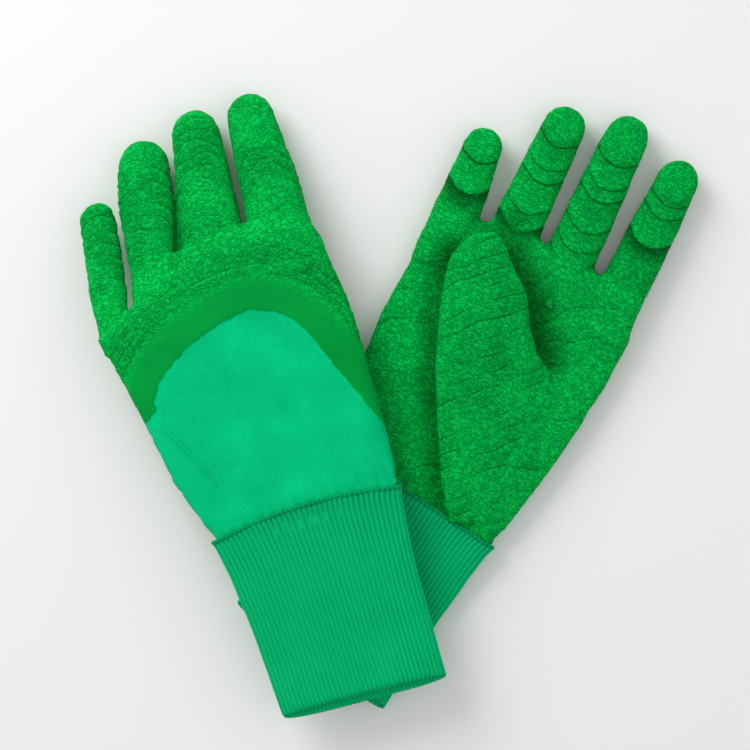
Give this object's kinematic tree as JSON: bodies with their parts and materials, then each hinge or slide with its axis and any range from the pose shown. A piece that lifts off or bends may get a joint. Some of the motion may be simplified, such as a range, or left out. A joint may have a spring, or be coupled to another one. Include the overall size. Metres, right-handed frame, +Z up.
{
  "type": "gardening gloves",
  "caption": "Pair of latex-dipped cotton gloves with rib-knit cuffs, lying crossed at the wrists, one palm down and one palm up, with digits and cuffs that bend.",
  "frame": {"origin": "middle of the pair's bounding box, on the surface it lies on", "axes": "+Z up from the surface, +Y towards the fingertips, +X from the left glove to the right glove"},
  "size_m": [0.2672, 0.2672, 0.0358],
  "materials": {
    "latex_coat": "crinkled satin latex",
    "cotton_liner": "fine cotton jersey",
    "rib_knit": "ribbed cotton knit",
    "seam_thread": "overlocked thread"
  },
  "bodies": {
    "right_hand": {"right_knuckle_coat": "latex_coat", "right_palm_coat": "latex_coat", "right_back_panel": "cotton_liner", "right_palm_panel": "cotton_liner", "right_wrist_seam": "seam_thread", "right_gore_seam": "seam_thread", "right_cuff_collar": "rib_knit"},
    "right_cuff": {"right_cuff_rib": "rib_knit", "right_cuff_lining": "rib_knit"},
    "right_index": {"right_index_coat": "latex_coat", "right_index_liner": "cotton_liner"},
    "right_middle": {"right_middle_coat": "latex_coat", "right_middle_liner": "cotton_liner"},
    "right_ring": {"right_ring_coat": "latex_coat", "right_ring_liner": "cotton_liner"},
    "right_little": {"right_little_coat": "latex_coat", "right_little_liner": "cotton_liner"},
    "right_thumb": {"right_thumb_coat": "latex_coat", "right_thumb_liner": "cotton_liner"},
    "left_hand": {"left_knuckle_coat": "latex_coat", "left_palm_coat": "latex_coat", "left_back_panel": "cotton_liner", "left_palm_panel": "cotton_liner", "left_wrist_seam": "seam_thread", "left_gore_seam": "seam_thread", "left_cuff_collar": "rib_knit"},
    "left_cuff": {"left_cuff_rib": "rib_knit", "left_cuff_lining": "rib_knit"},
    "left_index": {"left_index_coat": "latex_coat", "left_index_liner": "cotton_liner"},
    "left_middle": {"left_middle_coat": "latex_coat", "left_middle_liner": "cotton_liner"},
    "left_ring": {"left_ring_coat": "latex_coat", "left_ring_liner": "cotton_liner"},
    "left_little": {"left_little_coat": "latex_coat", "left_little_liner": "cotton_liner"},
    "left_thumb": {"left_thumb_coat": "latex_coat", "left_thumb_liner": "cotton_liner"}
  },
  "joints": [
    {"name": "left_glove_lift", "type": "slide", "parent": "right_hand", "child": "left_hand", "axis": [0, 0, 1], "range_m": [0, 0.1]},
    {"name": "right_cuff_fold", "type": "hinge", "parent": "right_hand", "child": "right_cuff", "pos_m": [0.00251, -0.05238, 0.00782], "axis": [0.8829, -0.4695, 0], "range_deg": [0, 60], "stiffness_Nm_per_rad": 0.08},
    {"name": "right_index_bend", "type": "hinge", "parent": "right_hand", "child": "right_index", "pos_m": [0.11152, 0.07198, 0.00817], "axis": [0.8957, -0.4446, 0], "range_deg": [0, 90], "stiffness_Nm_per_rad": 0.03},
    {"name": "right_middle_bend", "type": "hinge", "parent": "right_hand", "child": "right_middle", "pos_m": [0.08932, 0.08493, 0.00817], "axis": [0.8926, -0.4509, 0], "range_deg": [0, 90], "stiffness_Nm_per_rad": 0.03},
    {"name": "right_ring_bend", "type": "hinge", "parent": "right_hand", "child": "right_ring", "pos_m": [0.0647, 0.09576, 0.00817], "axis": [0.891, -0.454, 0], "range_deg": [0, 90], "stiffness_Nm_per_rad": 0.03},
    {"name": "right_little_bend", "type": "hinge", "parent": "right_hand", "child": "right_little", "pos_m": [0.03341, 0.09304, 0.00817], "axis": [0.915, -0.4035, 0], "range_deg": [0, 90], "stiffness_Nm_per_rad": 0.03},
    {"name": "right_thumb_bend", "type": "hinge", "parent": "right_hand", "child": "right_thumb", "pos_m": [0.04156, 0.02992, 0.02252], "axis": [0.9998, 0.0175, 0], "range_deg": [0, 90], "stiffness_Nm_per_rad": 0.03},
    {"name": "left_cuff_fold", "type": "hinge", "parent": "left_hand", "child": "left_cuff", "pos_m": [-0.03161, -0.06051, 0.02661], "axis": [-0.9239, -0.3827, 0], "range_deg": [0, 60], "stiffness_Nm_per_rad": 0.08},
    {"name": "left_index_bend", "type": "hinge", "parent": "left_hand", "child": "left_index", "pos_m": [-0.05552, 0.10268, 0.01549], "axis": [-0.9627, -0.2706, 0], "range_deg": [0, 90], "stiffness_Nm_per_rad": 0.03},
    {"name": "left_middle_bend", "type": "hinge", "parent": "left_hand", "child": "left_middle", "pos_m": [-0.08058, 0.09202, 0.01549], "axis": [-0.9724, -0.2334, 0], "range_deg": [0, 90], "stiffness_Nm_per_rad": 0.03},
    {"name": "left_ring_bend", "type": "hinge", "parent": "left_hand", "child": "left_ring", "pos_m": [-0.10374, 0.0797, 0.01584], "axis": [-0.9857, -0.1685, 0], "range_deg": [0, 90], "stiffness_Nm_per_rad": 0.03},
    {"name": "left_little_bend", "type": "hinge", "parent": "left_hand", "child": "left_little", "pos_m": [-0.12145, 0.05807, 0.01746], "axis": [-0.9724, -0.2334, 0], "range_deg": [0, 90], "stiffness_Nm_per_rad": 0.03},
    {"name": "left_thumb_bend", "type": "hinge", "parent": "left_hand", "child": "left_thumb", "pos_m": [-0.07, 0.02131, 0.00767], "axis": [-0.6227, -0.7823, 0.0187], "range_deg": [0, 90], "stiffness_Nm_per_rad": 0.03}
  ]
}
